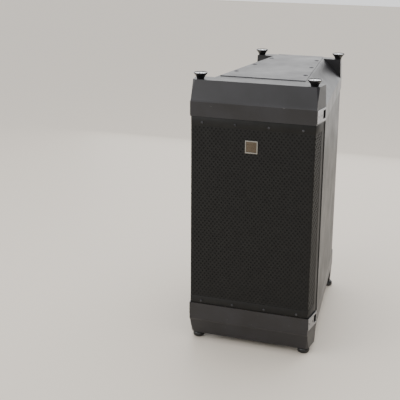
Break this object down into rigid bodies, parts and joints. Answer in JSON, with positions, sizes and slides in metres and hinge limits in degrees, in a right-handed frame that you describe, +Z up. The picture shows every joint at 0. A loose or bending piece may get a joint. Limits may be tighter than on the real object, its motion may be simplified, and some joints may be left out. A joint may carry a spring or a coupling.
{
  "type": "loudspeaker cabinet",
  "caption": "Tall stage loudspeaker with a six-sided plan, wrap-round perforated grille, moulded end caps, stacking cups, feet and side rigging pockets.",
  "frame": {"origin": "on the floor under the middle of the cabinet, at the centre of the bounding box", "axes": "+Z up, grille towards -Y, +X to the right as seen from the front"},
  "size_m": [0.5028, 0.773, 1.06],
  "materials": {
    "cap_paint": "satin textured black",
    "plate_paint": "satin black",
    "box_paint": "satin black coating over plywood",
    "plywood": "raw birch",
    "baffle_paint": "matte black",
    "grille_paint": "satin black powder coat",
    "pocket_steel": "bright satin plating",
    "foam": "matte open-cell foam",
    "black_screw": "black oxide",
    "zinc_steel": "zinc plated",
    "polished_steel": "polished",
    "cup_plastic": "gloss black",
    "foot_rubber": "satin black",
    "badge_rim": "satin",
    "badge_face": "brushed bronze tone",
    "cast_frame": "black cast",
    "ferrite": "matte ferrite",
    "cone_paper": "matte",
    "surround_cloth": "doped cloth",
    "coil_wire": "enamelled wire on a former",
    "horn_plastic": "matte black",
    "titanium": "thin formed foil",
    "circuit_board": "matte",
    "component_wrap": "matte",
    "plate_steel": "satin black"
  },
  "bodies": {
    "cabinet": {"back_panel": "box_paint", "badge_frame": "badge_rim", "badge_plate": "badge_face", "baffle": "baffle_paint", "base_plate": "plate_paint", "bottom_cap": "cap_paint", "bottom_panel": "plywood", "cap_screws": "zinc_steel", "crossover_board": "circuit_board", "crossover_components": "component_wrap", "cup_bolts": "polished_steel", "cup_dishes": "polished_steel", "cup_front_left": "cup_plastic", "cup_front_right": "cup_plastic", "cup_rear_left": "cup_plastic", "cup_rear_right": "cup_plastic", "damping_lining": "foam", "driver_cover": "cast_frame", "driver_magnet": "ferrite", "driver_screws": "zinc_steel", "foot_bolts": "zinc_steel", "foot_front_left": "foot_rubber", "foot_front_right": "foot_rubber", "foot_rear_left": "foot_rubber", "foot_rear_right": "foot_rubber", "grille": "grille_paint", "grille_foam": "foam", "grille_rail": "baffle_paint", "grille_screws": "black_screw", "handle_lower": "plate_steel", "handle_upper": "plate_steel", "horn": "horn_plastic", "input_plate": "plate_steel", "magnet_ring": "ferrite", "magnet_top_plate": "zinc_steel", "magnet_yoke": "zinc_steel", "phase_plug": "horn_plastic", "plate_screws": "black_screw", "port_tube_left": "horn_plastic", "port_tube_right": "horn_plastic", "rear_screws": "black_screw", "rigging_pocket_bottom_left": "pocket_steel", "rigging_pocket_bottom_right": "pocket_steel", "rigging_pocket_top_left": "pocket_steel", "rigging_pocket_top_right": "pocket_steel", "roof_plate": "plate_paint", "side_panel_left": "box_paint", "side_panel_right": "box_paint", "speaker_socket_1": "horn_plastic", "speaker_socket_2": "horn_plastic", "top_cap": "cap_paint", "top_panel": "plywood", "window_brace": "plywood", "woofer_basket": "cast_frame", "woofer_spider": "surround_cloth", "woofer_surround": "surround_cloth"},
    "cone": {"woofer_cone": "cone_paper", "dust_cap": "cone_paper", "voice_coil": "coil_wire"},
    "treble_diaphragm": {"diaphragm": "titanium"}
  },
  "joints": [
    {"name": "cone_travel", "type": "slide", "parent": "cabinet", "child": "cone", "axis": [0, -1, 0], "range_m": [-0.008, 0.008], "stiffness_N_per_m": 4000, "deforming": ["woofer_surround", "woofer_spider"]},
    {"name": "diaphragm_travel", "type": "slide", "parent": "cabinet", "child": "treble_diaphragm", "axis": [0, -1, 0], "range_m": [-0.0004, 0.0004], "stiffness_N_per_m": 4000}
  ]
}
